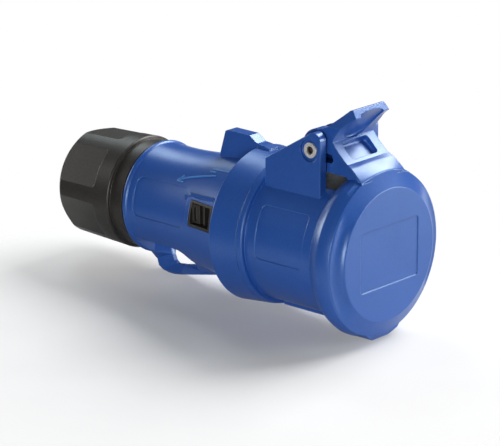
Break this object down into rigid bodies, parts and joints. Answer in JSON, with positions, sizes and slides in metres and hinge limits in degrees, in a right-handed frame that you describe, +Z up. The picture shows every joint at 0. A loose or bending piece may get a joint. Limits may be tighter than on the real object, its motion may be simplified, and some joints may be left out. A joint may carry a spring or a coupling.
{
  "type": "industrial socket connector",
  "caption": "Cable-end power socket with a sprung hinged lid, a waisted handle with a hanging loop and a screwed cable gland.",
  "frame": {"origin": "centre of the barrel's mouth plane, on the barrel's axis", "axes": "+X leaves the mouth, the way a mating plug is drawn out; +Z is up through the hinge; Y is across, and the hinge pin lies along it"},
  "size_m": [0.1693, 0.0688, 0.0946],
  "materials": {
    "blue_plastic": "moulded satin blue",
    "black_plastic": "moulded fine-grained black",
    "carrier_plastic": "moulded light grey",
    "gasket_rubber": "black elastomer",
    "contact_brass": "turned brass",
    "pin_steel": "turned stainless",
    "spring_steel": "bright wire and screws"
  },
  "bodies": {
    "housing": {"front_housing": "blue_plastic", "rear_handle": "blue_plastic", "slide_frame": "black_plastic", "carrier_face": "carrier_plastic", "contact_carrier": "carrier_plastic", "terminal_block": "carrier_plastic", "carrier_back_plate": "carrier_plastic", "carrier_screws": "spring_steel", "carrier_lock_ring": "spring_steel", "contact_live": "contact_brass", "contact_neutral": "contact_brass", "contact_earth": "contact_brass", "clip_live": "spring_steel", "clip_neutral": "spring_steel", "clip_earth": "spring_steel", "terminal_screws": "spring_steel", "body_seal": "gasket_rubber", "hinge_pin": "pin_steel", "hinge_spring": "spring_steel", "gland_seal": "gasket_rubber", "gland_washer": "black_plastic", "gland_collet": "black_plastic"},
    "lid": {"lid": "blue_plastic", "lid_gasket": "gasket_rubber"},
    "slide": {"lock_slide": "black_plastic"},
    "nut": {"gland_nut": "black_plastic"}
  },
  "joints": [
    {"name": "lid_hinge", "type": "hinge", "parent": "housing", "child": "lid", "pos_m": [-0.0185, 0, 0.0412], "axis": [0, -1, 0], "range_deg": [0, 110], "stiffness_Nm_per_rad": 0.15, "springref_deg": -57.3, "deforming": ["hinge_spring"]},
    {"name": "lock_slide_travel", "type": "slide", "parent": "housing", "child": "slide", "axis": [1, 0, 0], "range_m": [0, 0.0036]},
    {"name": "gland_nut_turn", "type": "hinge", "parent": "housing", "child": "nut", "pos_m": [-0.14, 0, 0], "axis": [1, 0, 0], "continuous": true}
  ]
}
